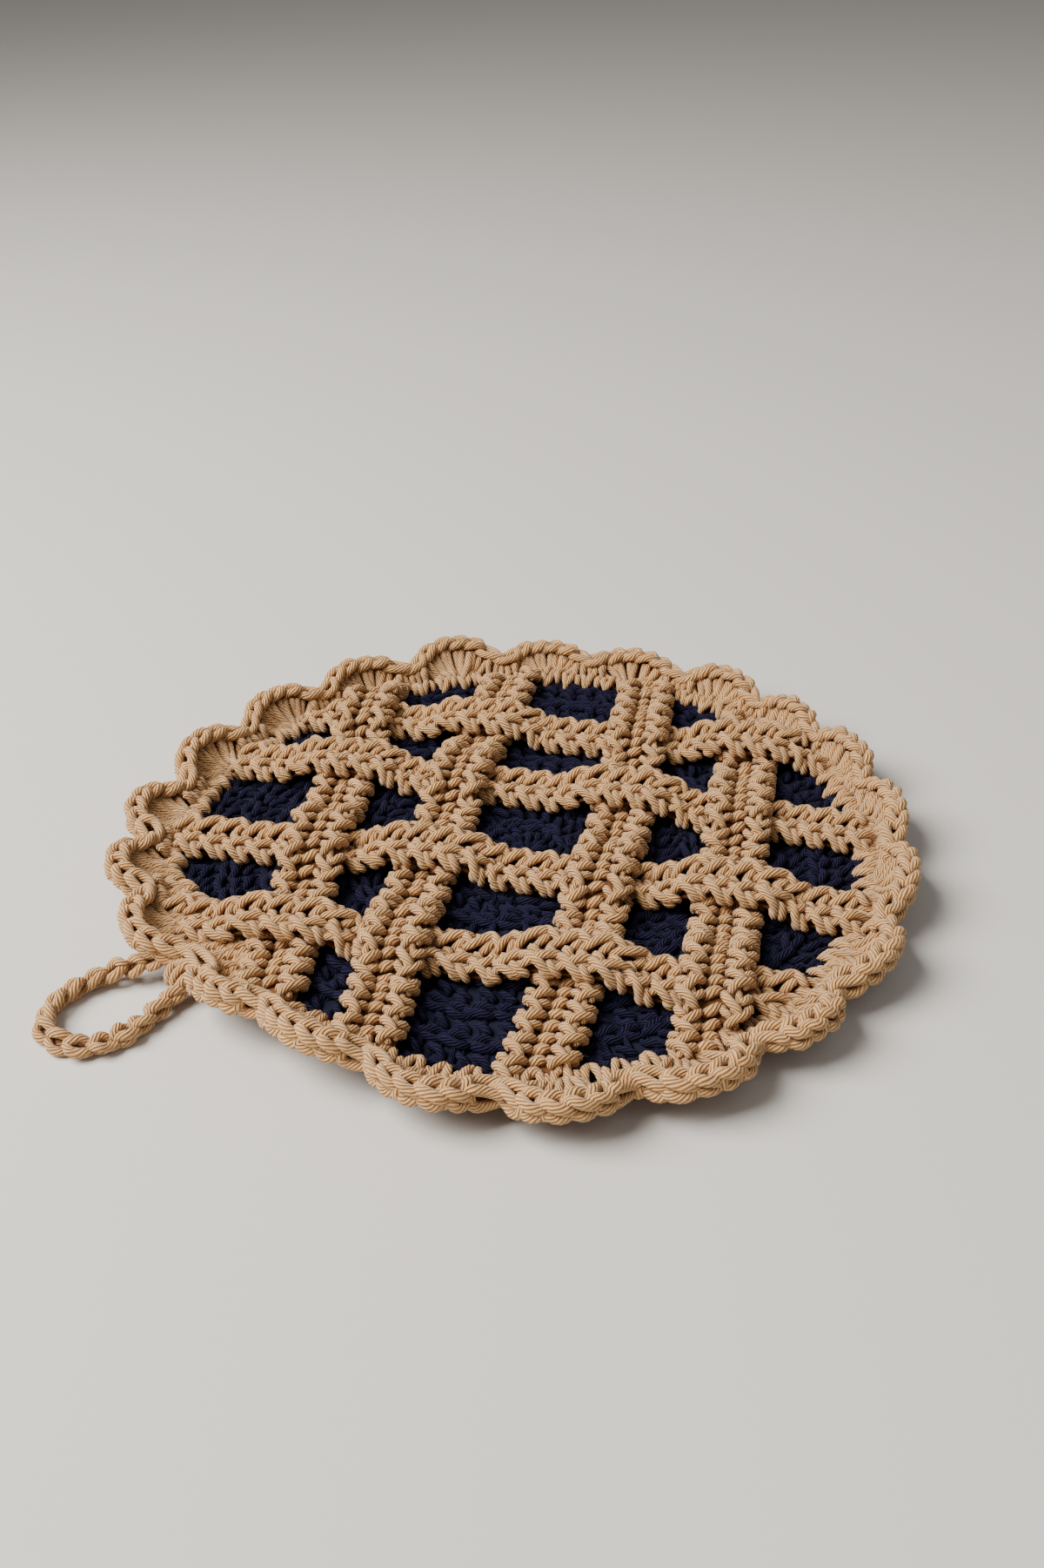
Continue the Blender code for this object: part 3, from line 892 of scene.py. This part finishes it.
def border_cloth(soft, plain):
    upper, lower = [], []
    for angle, radius, rise in soft[::CLOTH_EVERY]:
        spread = radius - RING_OUT
        line = (
            *CLOTH_FOOT,
            (RING_OUT + CLOTH_SHARE * spread, blend(CLOTH_LOW, rise, CLOTH_LOW_SHARE)),
            (radius - min(CLOTH_INSET, CLOTH_SHARE * spread), rise - CLOTH_BELOW),
        )
        upper.append([ring_point(r, angle, z + CLOTH_UP) for r, z in line])
        lower.append([ring_point(r + CLOTH_OUT, angle, z - CLOTH_DOWN) for r, z in line])
    return slab("border_core", np.array(upper), np.array(lower), plain, closed=True)


def make_border(material, plain):
    rows, edges = shell_outline()
    soft = softened(rows)
    outline = np.array([ring_point(radius, angle, rise) for angle, radius, rise in soft])
    track = Track(outline, closed=True)
    angles = np.unwrap(soft[:, 0])
    marks = np.interp(edges, angles, track.at[:-1])
    rim = rim_stitches(track, marks)
    fans = fan_stitches(track, marks, edges, angles, soft[:, 2])
    ring = ring_stitches()
    pieces = [
        rim.build("border_rim", material, "tan_yarn"),
        fans.build("border_fans", material, "tan_yarn"),
        ring.build("border_ring", material, "tan_yarn"),
    ]
    core = border_cloth(soft, plain)
    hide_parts("border")


# ---- strips: rows of (pitches along, mm across, mm up) that one strand passes

# half width, place of a ridge and how far its stitches spread, for each way of the strips
STRIP_FORM = {"a": (8.4, 4.9, 1.0), "b": (7.3, 4.3, 0.9)}
# how much longer the two legs of a ridge's stitch are than their patterns
LEG_STRETCH = {"a": (1.0, 1.0), "b": (1.3, 1.65)}
STITCH_LENGTHS = {
    "strip_a1": 8.0,
    "strip_a2": 7.5,
    "strip_a3": 7.2,
    "strip_a4": 7.2,
    "strip_b1": 5.8,
    "strip_b2": 5.8,
    "strip_b3": 6.2,
    "strip_b4": 7.0,
}
RIDGE_LEGS = (
    (
        (-0.12, -1.6, 2.6),
        (0.0, -0.9, 3.5),
        (0.13, 0.4, 3.8),
        (0.27, 1.7, 3.3),
        (0.41, 2.5, 2.3),
        (0.56, 2.7, 1.2),
        (0.66, 2.4, 0.5),
    ),
    (
        (0.12, 1.6, 2.3),
        (0.26, 1.2, 3.3),
        (0.42, 0.1, 4.0),
        (0.58, -1.2, 3.8),
        (0.72, -2.1, 2.9),
        (0.84, -2.3, 1.9),
        (0.9, -1.9, 1.2),
    ),
)
RIDGE_FEET = (
    ((0.6, 1.0, 3.0), (0.7, 1.9, 2.6), (0.82, 2.6, 1.7), (0.92, 2.7, 0.8), (0.96, 2.4, 0.1)),
    ((0.42, 2.0, 1.6), (0.5, 2.5, 1.1), (0.6, 2.6, 0.5), (0.68, 2.3, -0.1)),
    ((0.12, -0.7, 3.1), (0.22, -1.6, 2.9), (0.34, -2.3, 2.1), (0.44, -2.5, 1.2), (0.48, -2.2, 0.5)),
    ((-0.1, 0.4, 2.2), (0.25, -0.4, 2.4), (0.6, 0.6, 2.3), (0.95, 0.2, 2.2)),
)
GROOVE_LOOPS = (
    ((0.16, 1.8, 0.6), (0.1, 0.9, 1.5), (0.02, 0.0, 1.8), (-0.06, -0.9, 1.5), (-0.12, -1.8, 0.6)),
    ((0.66, 1.8, 0.6), (0.6, 0.9, 1.4), (0.52, 0.0, 1.7), (0.44, -0.9, 1.4), (0.38, -1.8, 0.6)),
)
# each ridge: side of the strip, and pitches by which its stitches start later
RIDGE_SIDES = ((-1.0, -0.35), (1.0, 0.1))
LEG_RADIUS = 1.04
FOOT_RADIUS = 1.02
GROOVE_RADIUS = 1.25
RIDGE_LOOSE = 0.12
GROOVE_LOOSE = 0.15
PITCH_VARIES = 0.03
STRIP_SPARE = 6.0
STRIP_STEPS = 330
STRIP_CLOTH_INSET = 2.0
STRIP_CLOTH_ROWS = 60
STRIP_CLOTH_COLUMNS = 8
STRIP_CLOTH_UP = 0.5
STRIP_CLOTH_DOWN = 0.3


def strip_side(name, along):
    place, lean, bow = STRIPS[name]
    return place + bow * (1.0 - (along / ROUND_RADIUS) ** 2) + lean * along


def over_places(name):
    """Where along a strip it lies over another."""
    a_names = sorted(A_OVER)
    b_names = sorted(set(STRIPS) - set(A_OVER))
    if name in A_OVER:
        others, over = b_names, A_OVER[name]
    else:
        others, over = a_names, [not A_OVER[a][b_names.index(name)] for a in a_names]
    found = []
    for other, lies_over in zip(others, over):
        along = strip_side(other, 0.0)
        for _ in range(3):
            along = strip_side(other, strip_side(name, along))
        if lies_over:
            found.append(along)
    return found


def strip_level(name, along, crossed):
    """Height of a strip along its length, lifted over the strips that it crosses above."""
    lift = np.zeros(len(along))
    for place in over_places(name):
        past_flat = np.abs(along - place) - (crossed - OVER_SHORT)
        lift = np.maximum(lift, 1.0 - smooth(past_flat / OVER_RAMP))
    return blend(STRIP_LOW, STRIP_HIGH, lift)


def end_reach(name, across, sign, radius=STRIP_END_RADIUS):
    """How far along a strip a line on it, some way across, stays within a radius."""
    # starts near the end and closes in on it
    along = sign * ROUND_RADIUS * 0.9
    for _ in range(6):
        side = strip_side(name, along) + across
        along = sign * max(radius**2 - side**2, 0.0) ** 0.5
    return along


def ridge_rows(pattern, spread, forward, stretch=1.0):
    """A strand's pattern, longer about its middle, and turned round unless forward."""
    middle = (pattern[0][0] + pattern[-1][0]) / 2
    rows = [(middle + stretch * (u - middle), spread * w, h) for u, w, h in pattern]
    return rows if forward else [(1.0 - u, w, h) for u, w, h in rows]


def strip_stitches(name, track, along, at):
    """Two ridges of stitches with a groove between them."""
    way = "a" if name in A_OVER else "b"
    _, ridge, spread = STRIP_FORM[way]
    strands = Strands()
    for hand, phase in RIDGE_SIDES:
        # across a track is -X for a strip along Y and -Y for one along X
        reach = [end_reach(name, -hand * ridge, sign, STITCH_END_RADIUS) for sign in (-1, 1)]
        first, last = sorted(np.interp(reach, along, at))
        number = round((last - first) / MM / STITCH_LENGTHS[name])
        pitch = (last - first) / number
        starts = first + pitch * (np.arange(number) + phase)
        starts += rng.normal(0, PITCH_VARIES * pitch, number)
        # only the strips along X have one ridge that points the other way
        forward = hand > 0 and way == "b"
        for leg, stretch in zip(RIDGE_LEGS, LEG_STRETCH[way]):
            rows = ridge_rows(leg, spread, forward, stretch)
            laid = lay(track, rows, starts, pitch, RIDGE_LOOSE, hand, ridge)
            strands.add(laid, LEG_RADIUS, steps=12, sides=8)
        for foot in RIDGE_FEET:
            rows = ridge_rows(foot, spread, forward)
            laid = lay(track, rows, starts, pitch, RIDGE_LOOSE, hand, ridge)
            strands.add(laid, FOOT_RADIUS, steps=8)
    for loop in GROOVE_LOOPS:
        laid = lay(track, loop, starts, pitch, GROOVE_LOOSE)
        # the lower tone of the groove loops is painted shade: loops down in the groove come out a
        # little darker
        strands.add(laid, GROOVE_RADIUS, steps=9, tone_and_shade=-0.3)
    return strands


def strip_cloth(name, track, along, at, half, plain):
    inside = half - STRIP_CLOTH_INSET
    fan = np.linspace(-inside, inside, STRIP_CLOTH_COLUMNS)
    columns = []
    for across in fan:
        marks = np.interp([end_reach(name, -across, sign) for sign in (-1, 1)], along, at)
        columns.append(np.linspace(min(marks), max(marks), STRIP_CLOTH_ROWS))
    places = np.stack(columns, axis=1)
    across = np.broadcast_to(fan * MM, places.shape)
    upper = track.place(places, across, np.full(places.shape, STRIP_CLOTH_UP * MM))
    lower = track.place(places, across, np.full(places.shape, -STRIP_CLOTH_DOWN * MM))
    return slab(f"{name}_core", upper, lower, plain)


def make_strip(name, material, plain):
    is_a = name in A_OVER
    half = STRIP_FORM["a" if is_a else "b"][0]
    crossed = STRIP_FORM["b" if is_a else "a"][0]
    ends = [[end_reach(name, edge, sign) for edge in (-half, 0.0, half)] for sign in (-1, 1)]
    along = np.linspace(min(ends[0]) - STRIP_SPARE, max(ends[1]) + STRIP_SPARE, STRIP_STEPS)
    level = strip_level(name, along, crossed)
    side = strip_side(name, along)
    if is_a:
        track = Track(np.stack([side, along, level], axis=1)[::-1] * MM)
        at = track.at[::-1]
    else:
        track = Track(np.stack([along, side, level], axis=1) * MM)
        at = track.at
    strands = strip_stitches(name, track, along, at)
    stitches = strands.build(f"{name}_stitches", material, "tan_yarn")
    core = strip_cloth(name, track, along, at, half, plain)
    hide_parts(name)


# ---- hanging loop: rows of (pitches along, mm across, mm above the middle of the chain)

LOOP_LEG = (
    (-0.16, 0.2, 0.2),
    (0.02, 0.6, 1.0),
    (0.25, 1.45, 1.1),
    (0.52, 1.75, 0.5),
    (0.8, 1.3, -0.3),
    (1.04, 0.4, -0.8),
)
LOOP_UNDER = ((-0.1, -0.3, -0.7), (0.2, 0.5, -1.1), (0.6, 0.6, -1.1), (0.95, -0.2, -0.7))
LOOP_LINKS = 16
LOOP_MIDDLE = 2.3
LOOP_ROLL = 50.0  # degrees that the chain is rolled where it leaves and meets the border
LOOP_RADIUS = 1.12
LOOP_LOOSE = 0.18
LOOP_STEPS = 200
# where the chain runs: mm away from its root, mm aside and mm up from the table
LOOP_LINE = (
    (-2.5, -6.2, 4.6),
    (1.5, -7.6, 4.4),
    (7.0, -10.4, 2.6),
    (13.0, -12.2, 0.8),
    (20.0, -11.6, 0.0),
    (27.0, -7.6, 0.0),
    (30.4, -1.2, 0.0),
    (28.6, 5.4, 0.0),
    (22.5, 9.8, 0.0),
    (15.5, 9.2, 0.0),
    (9.0, 5.6, 0.0),
    (4.0, 2.2, 0.5),
    (0.0, 0.2, 1.4),
)
# the strands that join the chain's ends to the border, as rows of the same kind
LOOP_ROOTS = (
    ((-1.5, -4.0, 8.2), (0.5, -4.6, 6.9), (2.2, -4.3, 4.6), (2.6, -3.4, 2.6)),
    ((-1.8, -1.2, 8.2), (0.0, -1.8, 7.0), (1.6, -1.8, 4.8), (2.0, -1.0, 2.6)),
    ((-2.0, 1.6, 7.6), (-0.2, 1.2, 6.4), (1.2, 1.0, 4.4), (1.8, 0.8, 2.2)),
    ((-5.0, -3.0, 7.2), (-3.0, -4.4, 8.4), (-0.5, -6.0, 8.3), (2.0, -7.4, 7.0)),
    ((-5.5, 0.5, 6.8), (-3.5, -0.5, 8.2), (-1.5, -1.8, 8.4), (0.2, -3.6, 7.4)),
)


def from_loop_root(rows):
    """Points in metres for rows of (mm away from the loop's root, mm aside, mm up)."""
    rows = np.array(rows)
    root = np.array(ring_point(LOOP_ROOT_RADIUS, radians(LOOP_NOTCH_ANGLE), 0.0))
    heading = radians(LOOP_HEADING)
    out = np.array((cos(heading), sin(heading), 0.0))
    aside = np.array((-sin(heading), cos(heading), 0.0))
    up = np.array((0.0, 0.0, 1.0))
    return root + MM * (rows[:, :1] * out + rows[:, 1:2] * aside + rows[:, 2:] * up)


def rolled(track, degrees):
    """Turns a track about its own line, from one way at its ends to the other halfway."""
    roll = radians(degrees) * np.cos(2 * pi * track.at / track.length)[:, None]
    across, up = track.across, track.up
    track.across = np.cos(roll) * across + np.sin(roll) * up
    track.up = np.cos(roll) * up - np.sin(roll) * across
    return track


def make_loop(material):
    line = through(from_loop_root(LOOP_LINE)[None], LOOP_STEPS)[0]
    track = rolled(Track(line + (0.0, 0.0, LOOP_MIDDLE * MM)), LOOP_ROLL)
    pitch = track.length / LOOP_LINKS
    starts = pitch * np.arange(LOOP_LINKS)
    strands = Strands()
    for leg, mirror in ((LOOP_LEG, 1.0), (LOOP_LEG, -1.0), (LOOP_UNDER, 1.0)):
        laid = lay(track, leg, starts, pitch, LOOP_LOOSE, mirror)
        strands.add(laid, LOOP_RADIUS, steps=11, sides=8, curl=False)
    for rows in LOOP_ROOTS:
        strands.add(from_loop_root(rows)[None], LOOP_RADIUS, steps=8, sides=8, curl=False)
    piece = strands.build("loop_chain", material, "tan_yarn")
    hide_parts("hanging_loop")


# ---- camera, lights and floor

CAMERA_TILT = 0.56483
CAMERA_ROLL = -0.02439
CAMERA_TURN = radians(12)
CAMERA_AWAY = 0.41589
CAMERA_AIM = (0.0003, 0.0351, 0)
LENS = 35.0
SENSOR = 36.0
# each light: place and size (m), power (W) and colour
LIGHTS = {
    "window": ((-0.72, -0.3, 0.9), 0.8, 37.0, (1.0, 0.97, 0.93)),
    "fill": ((0.8, -0.3, 0.9), 1.2, 1.5, (0.92, 0.95, 1.0)),
}
LIGHT_AIM = (0, 0, 0.005)
SKY = (0.95, 0.91, 0.86, 1)
SKY_STRENGTH = 0.26
FLOOR_SIZE = 6.0
FLOOR_COLOUR = (0.62, 0.60, 0.57)
FLOOR_ROUGHNESS = 0.8


def add_camera():
    """Looks down from the front at 32 degrees, from 12 degrees to the right of square on."""
    back = Vector((0, -cos(CAMERA_TILT), sin(CAMERA_TILT)))
    place = Vector(CAMERA_AIM) + back * CAMERA_AWAY
    x = Vector((1, 0, 0))
    y = back.cross(x)
    right = cos(CAMERA_ROLL) * x + sin(CAMERA_ROLL) * y
    top = -sin(CAMERA_ROLL) * x + cos(CAMERA_ROLL) * y
    matrix = Matrix(
        (
            (right.x, top.x, back.x, place.x),
            (right.y, top.y, back.y, place.y),
            (right.z, top.z, back.z, place.z),
            (0, 0, 0, 1),
        )
    )
    camera = bpy.data.objects.new("camera", bpy.data.cameras.new("camera"))
    camera.matrix_world = Matrix.Rotation(CAMERA_TURN, 4, "Z") @ matrix
    camera.data.lens = LENS
    camera.data.sensor_width = SENSOR
    camera.data.sensor_fit = "AUTO"
    camera.data.clip_start = 0.01
    bpy.context.scene.collection.objects.link(camera)
    bpy.context.scene.camera = camera


def add_area(name, place, size, power, colour):
    light = bpy.data.lights.new(name, "AREA")
    light.shape = "RECTANGLE"
    light.size = size
    light.size_y = size
    light.energy = power
    light.color = colour
    lamp = bpy.data.objects.new(name, light)
    lamp.location = place
    aim = Vector(LIGHT_AIM) - Vector(place)
    lamp.rotation_euler = aim.to_track_quat("-Z", "Y").to_euler()
    bpy.context.scene.collection.objects.link(lamp)


def add_surroundings():
    bpy.ops.mesh.primitive_plane_add(size=FLOOR_SIZE)
    floor = bpy.context.object
    floor.name = "floor"
    floor.data.materials.append(plain_material("floor_paint", FLOOR_COLOUR, FLOOR_ROUGHNESS))
    world = bpy.data.worlds.new("world")
    world.use_nodes = True
    sky = world.node_tree.nodes["Background"]
    sky.inputs[0].default_value = SKY
    sky.inputs[1].default_value = SKY_STRENGTH
    bpy.context.scene.world = world
    for name, (place, size, power, colour) in LIGHTS.items():
        add_area(name, place, size, power, colour)


def main():
    tan = yarn_material("tan_yarn", TAN)
    navy = yarn_material("navy_yarn", NAVY)
    # the tan cloths' material is painted shade, the colour of yarn in shadow
    tan_shade_plain = plain_material("tan_core_shade", TAN_CORE_SHADE)
    navy_plain = plain_material("navy_core", NAVY_CORE)
    make_navy(navy, navy_plain)
    make_border(tan, tan_shade_plain)
    for name in STRIPS:
        make_strip(name, tan, tan_shade_plain)
    make_loop(tan)
    note_crevices()
    add_camera()
    add_surroundings()


main()
